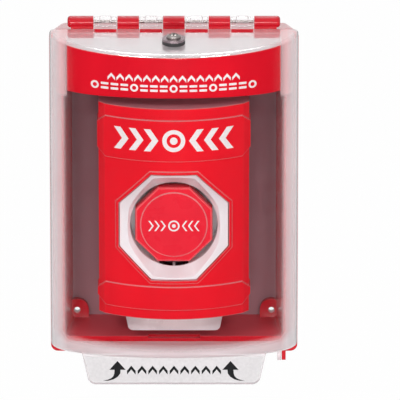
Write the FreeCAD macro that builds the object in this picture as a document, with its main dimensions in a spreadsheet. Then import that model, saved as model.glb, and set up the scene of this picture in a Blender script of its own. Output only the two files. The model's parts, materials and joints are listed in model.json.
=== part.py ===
"""Push-button call station under a lift-up clear cover, in millimetres.

X runs to the right, the wall is the plane Y = 0 and the front faces -Y, and Z runs up from the
middle of the mounting frame. A red frame with a hollow rim is screwed to the wall. It carries a
plate, a white box and a red station with an eight-sided push button that slides in and turns to
reset. A clear cover with a hood, a sounder and a lift tab swings up on the frame's hinge pin.
"""
import FreeCAD, Part
import math
import operator
import os

import Sketcher
from FreeCAD import Placement, Rotation, Vector

# Every driving dimension. Each one becomes a named cell of the sheet.
SIZES = {
    # General fits
    "running_gap": 0.3,
    "pin_clearance": 0.05,
    # Red mounting frame
    "frame_width": 144.0,
    "frame_height": 195.3,
    "frame_depth": 30.0,
    "frame_taper": 4.6,
    "frame_wall": 2.4,
    "frame_corner": 4.2,
    "rim_side": 8.2,
    "rim_end": 9.05,
    "notch_width": 30.4,
    "notch_depth": 1.3,
    # Screw bosses in the frame's corners
    "boss_from_side": 15.0,
    "boss_from_end": 17.25,
    "boss_radius": 6.8,
    "boss_front": 5.6,
    "mount_hole": 3.6,
    # Hinge
    "hinge_inset": 3.0,
    "hinge_rise": 3.65,
    "hinge_length": 122.8,
    "knuckle_radius": 3.35,
    "knuckle_pitch": 26.3,
    "knuckle_length": 12.4,
    "knuckle_foot": 4.8,
    "lug_length": 6.6,
    "lug_step": 0.55,
    "strap_reach": 6.5,
    "pin_diameter": 2.0,
    "pin_end_cover": 2.6,
    # Seal ears
    "ear_place": 62.7,
    "ear_thickness": 2.3,
    "ear_drop": 3.6,
    "ear_depth": 6.0,
    "ear_hole": 2.2,
    # Clear cover
    "cover_depth": 44.0,
    "cover_wall": 2.3,
    "cover_draft": 3.45,
    "cover_foot": 94.0,
    "cover_foot_draft": 5.8,
    "cover_round": 2.4,
    # Lift tab and its label
    "tab_width": 107.0,
    "tab_foot_width": 100.6,
    "tab_drop": 108.2,
    "tab_setback": 15.0,
    "tab_thickness": 2.5,
    "tab_corner": 5.0,
    "label_thickness": 0.3,
    "label_border": 1.2,
    # Hood and sounder under the cover's top
    "hood_width": 123.0,
    "hood_thickness": 1.4,
    "hood_foot": 67.9,
    "hood_arch": 1.6,
    "sounder_wall": 1.8,
    "sounder_rear": 3.8,
    "sounder_plate_thickness": 1.6,
    "slot_width": 1.8,
    "slot_pitch": 4.4,
    "slot_reach": 22.0,
    "buzzer_diameter": 24.0,
    "buzzer_height": 7.0,
    "buzzer_across": 28.0,
    "buzzer_hole": 4.0,
    "board_length": 46.0,
    "board_width": 14.0,
    "board_thickness": 1.6,
    "board_lift": 10.4,
    "board_post": 4.0,
    "cell_diameter": 16.4,
    "cell_length": 34.0,
    "cell_room": 0.9,
    "cell_across": 30.5,
    "cell_tip": 6.0,
    "clip_thickness": 0.6,
    "clip_width": 12.0,
    "clip_foot": 5.0,
    "reed_diameter": 2.6,
    "reed_length": 14.0,
    # Screw and washers on the cover's top
    "screw_setback": 23.4,
    "screw_head": 8.2,
    "screw_head_height": 2.4,
    "screw_shank": 3.0,
    "screw_length": 12.0,
    "screw_cross": 1.1,
    "washer_diameter": 13.2,
    "washer_thickness": 1.2,
    "washer_hole": 3.4,
    "rubber_thickness": 2.0,
    "screw_post": 8.0,
    # Plate behind the frame and the white box on it
    "plate_thickness": 2.0,
    "cable_hole": 20.0,
    "cable_rise": 33.0,
    "box_front": 38.0,
    "box_wall": 2.5,
    "housing_overlap": 5.5,
    "box_corner": 3.0,
    "chute_width": 60.0,
    "chute_foot_width": 54.0,
    "chute_foot": 82.4,
    "post_diameter": 8.0,
    "post_from_end": 10.2,
    # Station
    "station_width": 87.0,
    "station_height": 126.8,
    "station_middle": -4.2,
    "station_front": 63.5,
    "station_curve": 69.5,
    "station_wall": 2.5,
    "bevel_width": 3.5,
    "bevel_depth": 4.6,
    "band_raise": 0.8,
    "name_band_top": 52.2,
    "name_band_foot": 27.8,
    "name_band_end": 4.6,
    "low_band_top": -48.0,
    "low_band_foot": -61.9,
    "low_band_end": 5.0,
    "band_chamfer": 4.0,
    "rim_raise": 0.5,
    "rim_width": 1.9,
    # White dish and push button
    "button_middle": -12.2,
    "dish_width": 6.05,
    "dish_gap": 0.4,
    "dish_lip": 0.8,
    "cap_room": 1.2,
    "dish_bore_front": 55.6,
    "sleeve_wall": 2.0,
    "sleeve_floor": 2.5,
    "slot_outer": 8.4,
    "slot_rib": 1.6,
    "cap_flat": 44.6,
    "cap_front": 56.4,
    "cap_height": 8.7,
    "cap_wall": 2.4,
    "cap_edge": 0.7,
    "cap_disc": 38.4,
    "cap_disc_raise": 0.5,
    "cap_hub": 12.0,
    "pivot_diameter": 6.0,
    "pivot_length": 5.0,
    "flange_diameter": 34.0,
    "flange_thickness": 2.0,
    "flange_gap": 0.4,
    "stem_diameter": 10.0,
    "stem_reach": 13.4,
    "spring_room": 1.5,
    "spring_wire": 1.0,
    "spring_pitch": 3.6,
    # Yoke, contact holder and switch blocks
    "yoke_thickness": 1.5,
    "yoke_width": 60.0,
    "yoke_flange": 8.0,
    "holder_width": 56.0,
    "holder_height": 40.0,
    "holder_base": 3.0,
    "holder_depth": 12.0,
    "holder_body": 34.0,
    "cup_room": 1.0,
    "holder_floor": 3.0,
    "holder_screw_inset": 4.0,
    "block_width": 14.0,
    "block_depth": 15.0,
    "block_height": 38.0,
    "block_room": 3.0,
    "block_chamfer": 3.0,
    "terminal_upright": 24.0,
    # Inner fasteners
    "small_head": 5.6,
    "small_head_height": 1.8,
    "small_shank": 3.0,
    "large_head": 7.0,
    "large_head_height": 2.2,
    "large_shank": 3.2,
    "yoke_screw_length": 14.0,
    "box_screw_from_side": 12.7,
    "box_screw_from_end": 20.2,
    "housing_screw_across": 40.0,
    "housing_screw_depth": 5.0,
    "housing_screw_length": 7.0,
    # Magnet in the frame's rim
    "magnet_length": 12.0,
    "magnet_side": 3.0,
    "magnet_across": 30.0,
}

doc = FreeCAD.newDocument("call_station")
sheet = doc.addObject("Spreadsheet::Sheet", "Sizes")
for row, (name, number) in enumerate(SIZES.items(), start=1):
    sheet.set(f"A{row}", name)
    sheet.set(f"B{row}", str(number))
    sheet.setAlias(f"B{row}", name)
doc.recompute()


class Size:
    """A length that carries its number and its formula on the sheet."""

    def __init__(self, number, formula):
        self.number = number
        self.formula = formula

    def __add__(self, other):
        return join(self, "+", other)

    def __radd__(self, other):
        return join(other, "+", self)

    def __sub__(self, other):
        return join(self, "-", other)

    def __rsub__(self, other):
        return join(other, "-", self)

    def __mul__(self, other):
        return join(self, "*", other)

    def __rmul__(self, other):
        return join(other, "*", self)

    def __truediv__(self, other):
        return join(self, "/", other)

    def __rtruediv__(self, other):
        return join(other, "/", self)

    def __neg__(self):
        return join(0, "-", self)


SIGNS = {"+": operator.add, "-": operator.sub, "*": operator.mul, "/": operator.truediv}


def as_size(value):
    return value if isinstance(value, Size) else Size(float(value), f"({value:.9g})")


def join(left, sign, right):
    left, right = as_size(left), as_size(right)
    return Size(SIGNS[sign](left.number, right.number), f"({left.formula} {sign} {right.formula})")


def root(value):
    return Size(math.sqrt(value.number), f"sqrt({value.formula})")


def slope_angle(rise, run):
    """The angle in degrees of a slope, for a taper or a turn."""
    return Size(math.degrees(math.atan(rise.number / run.number)), f"atan({rise.formula} / {run.formula})")


class Cells:
    """The sheet's cells by name, each as a Size."""

    def __getattr__(self, name):
        return Size(float(sheet.get(name)), f"Sizes.{name}")


s = Cells()


def bind(thing, path, size):
    thing.setExpression(path, as_size(size).formula)


# Sketch planes. "front" is drawn across X and up Z and faces the front, "side" is drawn along Y
# and up Z and faces +X, and "plan" is drawn across X and along Y and faces up.
PLANES = {
    "front": ("XZ_Plane", Rotation(Vector(1, 0, 0), 90), "y", -1),
    "side": ("YZ_Plane", Rotation(Vector(1, 1, 1), 120), "x", 1),
    "plan": ("XY_Plane", Rotation(), "z", 1),
}
EIGHTH = math.radians(45)


def loose_sketch(name, plane, at):
    sketch = doc.addObject("Sketcher::SketchObject", name)
    turn, axis = PLANES[plane][1:3]
    sketch.Placement = Placement(Vector(), turn)
    bind(sketch, f"Placement.Base.{axis}", at)
    return sketch


def body_sketch(body, name, plane, at, rise=0):
    """A sketch in a body at a place along its plane's normal, lifted by rise up the page."""
    role, facing = PLANES[plane][0], PLANES[plane][3]
    sketch = body.newObject("Sketcher::SketchObject", name)
    origin_plane = next(part for part in body.Origin.OriginFeatures if part.Role == role)
    sketch.AttachmentSupport = [(origin_plane, "")]
    sketch.MapMode = "FlatFace"
    bind(sketch, "AttachmentOffset.Base.z", facing * at)
    bind(sketch, "AttachmentOffset.Base.y", rise)
    return sketch


def fix_point(sketch, edge, end, x, y):
    for kind, size in (("DistanceX", as_size(x)), ("DistanceY", as_size(y))):
        number = sketch.addConstraint(Sketcher.Constraint(kind, -1, 1, edge, end, size.number))
        bind(sketch, f"Constraints[{number}]", size)


def draw_outline(sketch, corners, arcs=None):
    """A closed line through the corners, which run anticlockwise. arcs gives the radius of each
    side that is an arc, by the number of its first corner. A negative radius bends inwards."""
    arcs = arcs or {}
    ends = []
    places = [Vector(as_size(x).number, as_size(y).number, 0) for x, y in corners]
    for number, here in enumerate(places):
        there = places[(number + 1) % len(places)]
        if number not in arcs:
            edge = sketch.addGeometry(Part.LineSegment(here, there), False)
            ends.append((edge, 1, 2))
            continue
        radius = as_size(arcs[number]).number
        across = there - here
        sag = abs(radius) - math.sqrt(max(radius**2 - (across.Length / 2) ** 2, 0.0))
        outward = Vector(across.y, -across.x, 0).normalize()
        middle = (here + there) / 2 + outward * math.copysign(sag, radius)
        first, last = (here, there) if radius > 0 else (there, here)
        edge = sketch.addGeometry(Part.Arc(first, middle, last), False)
        ends.append((edge, 1, 2) if radius > 0 else (edge, 2, 1))
    for (edge, _, last), (following, first, _) in zip(ends, ends[1:] + ends[:1]):
        sketch.addConstraint(Sketcher.Constraint("Coincident", edge, last, following, first))
    for (edge, first, _), (x, y) in zip(ends, corners):
        fix_point(sketch, edge, first, x, y)
    for number, radius in arcs.items():
        size = as_size(radius)
        size = size if size.number > 0 else -size
        edge = ends[number][0]
        constraint = sketch.addConstraint(Sketcher.Constraint("Radius", edge, size.number))
        bind(sketch, f"Constraints[{constraint}]", size)
    return sketch


def draw_circle(sketch, diameter, x=0, y=0):
    place = Vector(as_size(x).number, as_size(y).number, 0)
    edge = sketch.addGeometry(Part.Circle(place, Vector(0, 0, 1), diameter.number / 2), False)
    fix_point(sketch, edge, 3, x, y)
    number = sketch.addConstraint(Sketcher.Constraint("Diameter", edge, diameter.number))
    bind(sketch, f"Constraints[{number}]", diameter)
    return sketch


def rectangle(left, right, low, high):
    return [(left, low), (right, low), (right, high), (left, high)]


def draw_rounded(sketch, half_width, half_height, radius, middle=0):
    """A rectangle with round corners about the page's upright middle line."""
    inner_x, inner_y = half_width - radius, half_height - radius
    corners = [
        (-inner_x, middle - half_height), (inner_x, middle - half_height),
        (half_width, middle - inner_y), (half_width, middle + inner_y),
        (inner_x, middle + half_height), (-inner_x, middle + half_height),
        (-half_width, middle + inner_y), (-half_width, middle - inner_y),
    ]
    return draw_outline(sketch, corners, {1: radius, 3: radius, 5: radius, 7: radius})


def octagon(across_flats, middle):
    """The corners of a regular octagon with a level side at its foot."""
    radius = across_flats / (2 * math.cos(EIGHTH / 2))
    turns = [(corner - 2.5) * EIGHTH for corner in range(8)]
    return [(radius * math.cos(turn), middle + radius * math.sin(turn)) for turn in turns]


def new_body(label):
    body = doc.addObject("PartDesign::Body", label + "_body")
    body.Label = label
    return body


def pad(body, sketch, length, both_ways=False):
    feature = body.newObject("PartDesign::Pad", sketch.Name + "_pad")
    feature.Profile = sketch
    bind(feature, "Length", length)
    feature.Midplane = both_ways
    return feature


def pocket(body, sketch, length=None, forwards=False):
    """Cut into the solid behind the sketch, or right through it both ways with no length."""
    feature = body.newObject("PartDesign::Pocket", sketch.Name + "_pocket")
    feature.Profile = sketch
    if length is None:
        feature.Type = "ThroughAll"
        feature.Midplane = True
    else:
        bind(feature, "Length", length)
        feature.Reversed = forwards
    return feature


def loft(body, kind, rear, front):
    feature = body.newObject(f"PartDesign::{kind}Loft", rear.Name + "_loft")
    feature.Profile = rear
    feature.Sections = [front]
    feature.Ruled = True
    return feature


def edge_names(shape, wanted):
    return [f"Edge{number}" for number, edge in enumerate(shape.Edges, start=1) if wanted(edge)]


def middle_of(edge):
    return edge.valueAt((edge.FirstParameter + edge.LastParameter) / 2)


def soften(body, kind, size, wanted):
    """A PartDesign fillet or chamfer on the edges that wanted picks."""
    doc.recompute()
    tip = body.Tip
    feature = body.newObject(f"PartDesign::{kind}", f"{body.Name}_{kind.lower()}")
    feature.Base = (tip, edge_names(tip.Shape, wanted))
    bind(feature, "Radius" if kind == "Fillet" else "Size", size)
    return feature


def prism(name, plane, at, length, corners, arcs=None):
    """A straight block with the outline given, from a place along its plane's normal."""
    sketch = draw_outline(loose_sketch(name + "_outline", plane, at), corners, arcs)
    block = doc.addObject("Part::Extrusion", name)
    block.Base = sketch
    block.DirMode = "Normal"
    block.Solid = True
    bind(block, "LengthFwd", length)
    return block


def place(thing, x=0, y=0, z=0):
    for axis, size in zip("xyz", (x, y, z)):
        bind(thing, f"Placement.Base.{axis}", size)
    return thing


RODS = {
    "right": Rotation(Vector(0, 1, 0), 90),
    "front": Rotation(Vector(1, 0, 0), 90),
    "rear": Rotation(Vector(1, 0, 0), -90),
    "up": Rotation(),
    "down": Rotation(Vector(1, 0, 0), 180),
}


def rod(name, towards, diameter, length, x=0, y=0, z=0):
    """A round bar from a point towards the right, front, rear, up or down."""
    bar = doc.addObject("Part::Cylinder", name)
    bar.Placement = Placement(Vector(), RODS[towards])
    bind(bar, "Radius", diameter / 2)
    bind(bar, "Height", length)
    return place(bar, x, y, z)


def cone(name, towards, first, last, length, x=0, y=0, z=0):
    bar = doc.addObject("Part::Cone", name)
    bar.Placement = Placement(Vector(), RODS[towards])
    bind(bar, "Radius1", first / 2)
    bind(bar, "Radius2", last / 2)
    bind(bar, "Height", length)
    return place(bar, x, y, z)


def block(name, left, right, front, rear, low, high):
    """A box between its faces, with front the lower Y."""
    box = doc.addObject("Part::Box", name)
    bind(box, "Length", right - left)
    bind(box, "Width", rear - front)
    bind(box, "Height", high - low)
    return place(box, left, front, low)


def boolean(kind, name, parts):
    result = doc.addObject(kind, name)
    result.Shapes = list(parts)
    result.Refine = True
    return result


def fuse(name, *parts):
    return boolean("Part::MultiFuse", name, parts)


def common(name, *parts):
    return boolean("Part::MultiCommon", name, parts)


def cut(name, base, *tools):
    result = doc.addObject("Part::Cut", name)
    result.Base = base
    result.Tool = tools[0] if len(tools) == 1 else fuse(name + "_tools", *tools)
    result.Refine = True
    return result


def named(label, thing):
    thing.Label = label
    return thing


# Places that several pieces share
half_width = s.frame_width / 2
half_height = s.frame_height / 2
frame_slope = s.frame_taper / s.frame_depth
open_half_width = half_width - s.rim_side
open_half_height = half_height - s.rim_end
hinge_y = -(s.frame_depth - s.hinge_inset)
hinge_z = half_height + s.hinge_rise
cover_rear = -(s.frame_depth + s.running_gap)
cover_slope = s.cover_draft / s.cover_depth
foot_slope = s.cover_foot_draft / s.cover_depth
boss_x = half_width - s.boss_from_side
boss_z = half_height - s.boss_from_end
station_top = s.station_middle + s.station_height / 2
station_foot = s.station_middle - s.station_height / 2
cap_rear = -(s.cap_front - s.cap_height)
yoke_front = -(s.box_front + s.yoke_thickness)
sleeve_rear = yoke_front
sleeve_floor_front = sleeve_rear - s.sleeve_floor
flange_front = cap_rear + s.flange_gap
flange_rear = flange_front + s.flange_thickness
box_back = -(s.plate_thickness + s.box_wall)
box_half = s.station_width / 2 - s.station_wall - s.running_gap
box_half_height = s.station_height / 2 - s.station_wall - s.running_gap
box_screw_x = box_half - s.box_screw_from_side
box_screw_up = box_half_height - s.box_screw_from_end
post_up = box_half_height - s.post_from_end
dish_bore = s.cap_flat / math.cos(math.radians(22.5)) + 2 * s.cap_room
dish_flat = dish_bore + 2 * s.dish_width
spring_diameter = s.stem_diameter + s.spring_wire + 2 * s.spring_room
holder_cup = spring_diameter + s.spring_wire + 2 * s.cup_room
yoke_hole = holder_cup + 2 * s.yoke_thickness
holder_screw_x = s.holder_width / 2 - s.holder_screw_inset
block_x = (s.stem_diameter + s.block_width) / 2 + s.block_room


def screw_group(label, towards, spots, head, head_height, shank, length):
    """Pan-headed screws as one group. Each spot is the seat of a head, which stands up from it
    away from the shank's direction."""
    away = {"front": "rear", "rear": "front", "up": "down", "down": "up"}[towards]
    parts = []
    for number, spot in enumerate(spots):
        name = f"{label}_{number}"
        parts.append(rod(name + "_shank", towards, shank, length, *spot))
        parts.append(cone(name + "_head", away, head, head * 0.72, head_height, *spot))
    return named(label, fuse(label + "_group", *parts))


def make_mounting_frame():
    """Red frame: outer skirt, front flange and inner wall round a hollow rim, screw bosses in
    the corners, hinge knuckles on the top and a seal ear below."""
    body = new_body("mounting_frame")

    def level(name, at, inset_x, inset_z, radius):
        """A rounded rectangle on the frame's tapered sides, by how far it lies inside them."""
        narrowed = s.frame_taper + at * frame_slope
        sketch = body_sketch(body, name, "front", at)
        return draw_rounded(sketch, half_width - inset_x - narrowed,
                            half_height - inset_z - narrowed, radius)

    front = -s.frame_depth
    flange_back = front + s.frame_wall
    inner_radius = s.frame_corner - s.frame_wall * 0.8
    loft(body, "Additive", level("skirt_rear", as_size(0), 0, 0, s.frame_corner),
         level("skirt_front", front, 0, 0, s.frame_corner))
    loft(body, "Subtractive", level("hollow_rear", as_size(0), s.frame_wall, s.frame_wall, inner_radius),
         level("hollow_front", flange_back, s.frame_wall, s.frame_wall, inner_radius))
    inset_x, inset_z = s.rim_side - s.frame_wall, s.rim_end - s.frame_wall
    loft(body, "Additive", level("inner_rear", -s.plate_thickness, inset_x, inset_z, s.frame_corner),
         level("inner_front", flange_back, inset_x, inset_z, s.frame_corner))
    loft(body, "Subtractive", level("opening_rear", as_size(0), s.rim_side, s.rim_end, inner_radius),
         level("opening_front", front, s.rim_side, s.rim_end, inner_radius))

    feet = body_sketch(body, "boss_feet", "front", -s.plate_thickness)
    rounds = body_sketch(body, "boss_rounds", "front", -s.plate_thickness)
    holes = body_sketch(body, "boss_holes", "front", as_size(0))
    reach = half_height - s.rim_end - s.frame_taper + s.frame_wall
    for side in (-1, 1):
        left, right = side * boss_x - s.boss_radius, side * boss_x + s.boss_radius
        draw_outline(feet, rectangle(left, right, boss_z, reach))
        draw_outline(feet, rectangle(left, right, -reach, -boss_z))
        for end in (-1, 1):
            draw_circle(rounds, 2 * s.boss_radius, side * boss_x, end * boss_z)
            draw_circle(holes, s.mount_hole, side * boss_x, end * boss_z)
    pad(body, feet, s.boss_front - s.plate_thickness)
    pad(body, rounds, s.boss_front - s.plate_thickness)
    pocket(body, holes)

    notch = body_sketch(body, "notch", "front", front)
    draw_outline(notch, rectangle(-s.notch_width / 2, s.notch_width / 2,
                                  -(open_half_height + s.notch_depth), -(open_half_height - 1)))
    pocket(body, notch, s.frame_wall)

    foot_low = half_height - s.frame_wall
    end_dome = s.knuckle_radius * 0.6
    outer_length = s.hinge_length / 2 - 2 * s.knuckle_pitch + s.knuckle_length / 2
    for number in range(5):
        start, length = (number - 2) * s.knuckle_pitch - s.knuckle_length / 2, s.knuckle_length
        foot_start, foot_length = start, length
        if number in (0, 4):
            length, foot_length = outer_length, outer_length - end_dome
        if number == 0:
            start = -s.hinge_length / 2
            foot_start = start + end_dome
        foot = body_sketch(body, f"knuckle_foot_{number}", "side", foot_start)
        half_foot = s.knuckle_foot / 2
        draw_outline(foot, rectangle(hinge_y - half_foot, hinge_y + half_foot, foot_low, hinge_z))
        pad(body, foot, foot_length)
        barrel = body_sketch(body, f"knuckle_barrel_{number}", "side", start)
        pad(body, draw_circle(barrel, 2 * s.knuckle_radius, hinge_y, hinge_z), length)

    ear_start = s.ear_place + s.running_gap / 2
    ear = body_sketch(body, "frame_ear", "side", ear_start)
    ear_low = -(half_height + s.ear_drop)
    draw_outline(ear, rectangle(front - s.ear_depth, front + s.ear_depth, ear_low, -foot_low))
    pad(body, ear, s.ear_thickness)
    ear_hole = body_sketch(body, "frame_ear_hole", "side", ear_start)
    draw_circle(ear_hole, s.ear_hole, front - s.ear_depth / 2, ear_low + s.ear_hole)
    pocket(body, ear_hole, s.ear_thickness, forwards=True)

    bore = body_sketch(body, "pin_bore", "side", s.hinge_length / 2 - s.pin_end_cover)
    draw_circle(bore, s.pin_diameter + 2 * s.pin_clearance, hinge_y, hinge_z)
    pocket(body, bore, s.hinge_length)

    end_x = s.hinge_length.number / 2
    soften(body, "Fillet", s.knuckle_radius * 0.55,
           lambda edge: abs(abs(middle_of(edge).x) - end_x) < 0.01 and edge.Curve.TypeId == "Part::GeomCircle"
           and abs(edge.Curve.Radius - s.knuckle_radius.number) < 0.01)
    return body


def make_back_plate():
    """Flat plate inside the frame's skirt, with the cable hole and the screw holes."""
    body = new_body("back_plate")
    inset = s.frame_taper + s.frame_wall + s.running_gap
    sheet_outline = body_sketch(body, "plate_outline", "front", as_size(0))
    draw_rounded(sheet_outline, half_width - inset, half_height - inset, s.frame_corner)
    pad(body, sheet_outline, s.plate_thickness)
    holes = body_sketch(body, "plate_holes", "front", as_size(0))
    draw_circle(holes, s.cable_hole, 0, s.cable_rise)
    for side in (-1, 1):
        for end in (-1, 1):
            draw_circle(holes, s.mount_hole, side * boss_x, end * boss_z)
            draw_circle(holes, s.large_shank + 2 * s.pin_clearance, side * box_screw_x,
                        s.station_middle + end * box_screw_up)
    pocket(body, holes)
    return body


def make_back_box():
    """White box behind the station, open to the front, with two posts for the yoke's screws, the
    cable hole in its back, and below it a tapered chute that is open to the back."""
    body = new_body("back_box")

    top, shoulder = s.station_middle + box_half_height, s.station_middle - box_half_height
    foot, corner, wall = -s.chute_foot, s.box_corner, s.box_wall
    chute, foot_half = s.chute_width / 2, s.chute_foot_width / 2
    depth = s.box_front - s.plate_thickness
    outer = body_sketch(body, "box_outline", "front", -s.plate_thickness)
    draw_outline(outer, [(-(foot_half - corner), foot), (foot_half - corner, foot),
                         (foot_half, foot + corner), (chute, shoulder), (box_half, shoulder),
                         (box_half, top), (-box_half, top), (-box_half, shoulder), (-chute, shoulder),
                         (-foot_half, foot + corner)], {1: corner * 1.05, 9: corner * 1.05})
    pad(body, outer, depth)
    hollow = body_sketch(body, "box_hollow", "front", -s.box_front)
    draw_outline(hollow, rectangle(wall - box_half, box_half - wall, shoulder + wall, top - wall))
    pocket(body, hollow, depth - wall)
    chute_hollow = body_sketch(body, "chute_hollow", "front", -s.plate_thickness)
    draw_outline(chute_hollow, [(wall - foot_half, foot + wall), (foot_half - wall, foot + wall),
                                (chute - wall, shoulder), (wall - chute, shoulder)])
    pocket(body, chute_hollow, depth - wall, forwards=True)
    posts = body_sketch(body, "posts", "front", box_back)
    post_holes = body_sketch(body, "post_holes", "front", -s.box_front)
    back_holes = body_sketch(body, "box_back_holes", "front", box_back)
    draw_circle(back_holes, s.cable_hole, 0, s.cable_rise)
    for end in (-1, 1):
        z = s.station_middle + end * post_up
        draw_circle(posts, s.post_diameter, 0, z)
        draw_circle(post_holes, s.large_shank + 2 * s.pin_clearance, 0, z)
        for side in (-1, 1):
            draw_circle(back_holes, s.large_shank + 2 * s.pin_clearance, side * box_screw_x,
                        s.station_middle + end * box_screw_up)
    pad(body, posts, s.box_front + box_back)
    pocket(body, post_holes, s.yoke_screw_length)
    pocket(body, back_holes, s.box_wall)
    return body


def make_yoke_plate():
    """Bent steel plate on the box's rim: flat back, and a flange at each end that holds the
    housing."""
    body = new_body("yoke_plate")
    top, foot = s.station_middle + box_half_height, s.station_middle - box_half_height
    back, front, flange = -s.box_front, yoke_front, yoke_front - s.yoke_flange
    side_view = body_sketch(body, "yoke_side", "side", -s.yoke_width / 2)
    corners = [(flange, foot), (back, foot), (back, top), (flange, top),
               (flange, top - s.yoke_thickness), (front, top - s.yoke_thickness),
               (front, foot + s.yoke_thickness), (flange, foot + s.yoke_thickness)]
    draw_outline(side_view, corners)
    pad(body, side_view, s.yoke_width)
    holes = body_sketch(body, "yoke_holes", "front", back)
    draw_circle(holes, yoke_hole, 0, s.button_middle)
    for sign in (-1, 1):
        draw_circle(holes, s.large_shank + 2 * s.pin_clearance, 0, s.station_middle + sign * post_up)
        draw_circle(holes, s.small_shank + 2 * s.pin_clearance, sign * holder_screw_x, s.button_middle)
    pocket(body, holes)
    tapped = body_sketch(body, "yoke_tapped", "plan", foot)
    for sign in (-1, 1):
        draw_circle(tapped, s.small_shank + 2 * s.pin_clearance, sign * s.housing_screw_across / 2,
                    yoke_front - s.housing_screw_depth)
    pocket(body, tapped, s.yoke_thickness, forwards=True)
    return body


def station_plan(inset, rear):
    """The station's outline from above, inset from its outer faces: straight sides, a bevel and
    a curved front. Returns its corners and its arc."""
    radius = s.station_curve - inset
    bevel_x = s.station_width / 2 - s.bevel_width - inset * 0.7
    centre_y = s.station_curve - s.station_front
    bevel_y = centre_y - root(radius * radius - bevel_x * bevel_x)
    side_x = s.station_width / 2 - inset
    side_y = bevel_y + s.bevel_depth
    corners = [(-side_x, rear), (-side_x, side_y), (-bevel_x, bevel_y),
               (bevel_x, bevel_y), (side_x, side_y), (side_x, rear)]
    return corners, {2: radius}


def station_block(name, inset, rear, low, high):
    corners, arcs = station_plan(as_size(inset), rear)
    return prism(name, "plan", low, high - low, corners, arcs)


def band_outline(top, foot, end):
    """A raised band's outline, which runs out to the housing's sides with clipped corners."""
    edge = s.station_width / 2 + 1
    inner = s.station_width / 2 - s.band_chamfer
    return [(-inner, foot), (inner, foot), (edge, foot + end), (edge, top - end),
            (inner, top), (-inner, top), (-edge, top - end), (-edge, foot + end)]


def make_station_housing():
    """Red front: a curved shell with beveled edges, two raised bands, a raised edge round the
    eight-sided opening, and screw holes below."""
    rear = -(s.box_front - s.housing_overlap)
    wall = s.station_wall
    shell = cut("station_shell", station_block("station_solid", 0, rear, station_foot, station_top),
                station_block("station_hollow", wall, rear + 1, station_foot + wall, station_top - wall))
    deep = s.station_front + s.band_raise + 1 + rear
    skin = cut("band_skin", station_block("band_face", -s.band_raise, rear, station_foot, station_top),
               station_block("band_core", wall / 2, rear + 1, station_foot - 1, station_top + 1))
    bands = [
        common(name, skin, prism(name + "_area", "front", rear, deep, band_outline(*places)))
        for name, places in (
            ("name_band", (s.name_band_top, s.name_band_foot, s.name_band_end)),
            ("low_band", (s.low_band_top, s.low_band_foot, s.low_band_end)),
        )
    ]
    rim_skin = cut("rim_skin", station_block("rim_face", -s.rim_raise, rear, station_foot, station_top),
                   station_block("rim_core", wall / 2, rear + 1, station_foot - 1, station_top + 1))
    opening = dish_flat + 2 * s.dish_gap
    rim = common("dish_rim", rim_skin, prism("dish_rim_area", "front", rear, deep,
                                             octagon(opening + 2 * s.rim_width, s.button_middle)))
    tools = [prism("dish_opening", "front", rear + 1, deep + 1, octagon(opening, s.button_middle))]
    chute_gap = s.chute_width / 2 + s.running_gap
    tools.append(block("chute_notch", -chute_gap, chute_gap, -(s.box_front + s.running_gap), rear + 1,
                       station_foot - wall, station_foot + 2 * wall))
    for number, sign in enumerate((-1, 1)):
        tools.append(rod(f"housing_hole_{number}", "up", s.small_shank + 2 * s.pin_clearance, 2 * wall,
                         sign * s.housing_screw_across / 2, yoke_front - s.housing_screw_depth,
                         station_foot - wall / 2))
    return named("station_housing", cut("station_front", fuse("station_raised", shell, *bands, rim), *tools))


def make_octagon_bezel():
    """White dish in the opening: its front follows the housing's curve, its sides slope in from
    the octagon to a round sleeve, and two slots open the sleeve's foot."""
    middle = s.button_middle
    flange_back = -(s.dish_bore_front - s.sleeve_wall)
    front = common("dish_flange",
                   station_block("dish_face", s.dish_gap, as_size(flange_back), middle - dish_flat,
                                 middle + dish_flat),
                   prism("dish_outline", "front", flange_back, s.station_front, octagon(dish_flat, middle)))
    sleeve = rod("sleeve_outside", "front", dish_bore + 2 * s.sleeve_wall,
                 s.dish_bore_front + sleeve_rear, 0, sleeve_rear, middle)
    dish = doc.addObject("Part::Loft", "dish_slope")
    mouth = draw_outline(loose_sketch("dish_mouth", "front", -s.station_front),
                         octagon(dish_flat - 2 * s.dish_lip, middle))
    throat = draw_outline(loose_sketch("dish_throat", "front", -s.dish_bore_front), *round_octagon(middle))
    dish.Sections = [throat, mouth]
    dish.Solid = True
    dish.Ruled = True
    bore = rod("sleeve_bore", "front", dish_bore, s.dish_bore_front + sleeve_floor_front, 0,
               sleeve_floor_front, middle)
    through = rod("sleeve_hole", "front", s.flange_diameter + 4 * s.running_gap, 2 * s.sleeve_floor, 0,
                  sleeve_rear + s.sleeve_floor / 2, middle)
    slots = [
        block(f"dish_slot_{number}", *sorted_pair(side * s.slot_rib / 2, side * s.slot_outer, side),
              -(s.dish_bore_front - 1), sleeve_floor_front, middle - dish_bore / 2 - 2 * s.sleeve_wall,
              middle - dish_bore / 2 + s.sleeve_wall)
        for number, side in enumerate((-1, 1))
    ]
    whole = fuse("dish_whole", front, sleeve)
    return named("octagon_bezel", cut("dish_ring", whole, dish, bore, through, *slots))


def sorted_pair(near, far, side):
    return (near, far) if side > 0 else (far, near)


def round_octagon(middle):
    """The dish's throat: a circle in eight arcs, so that each lies behind one side of the
    octagon."""
    radius = dish_bore / 2
    turns = [(corner - 2.5) * EIGHTH for corner in range(8)]
    corners = [(radius * math.cos(turn), middle + radius * math.sin(turn)) for turn in turns]
    return corners, {side: radius for side in range(8)}


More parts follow.
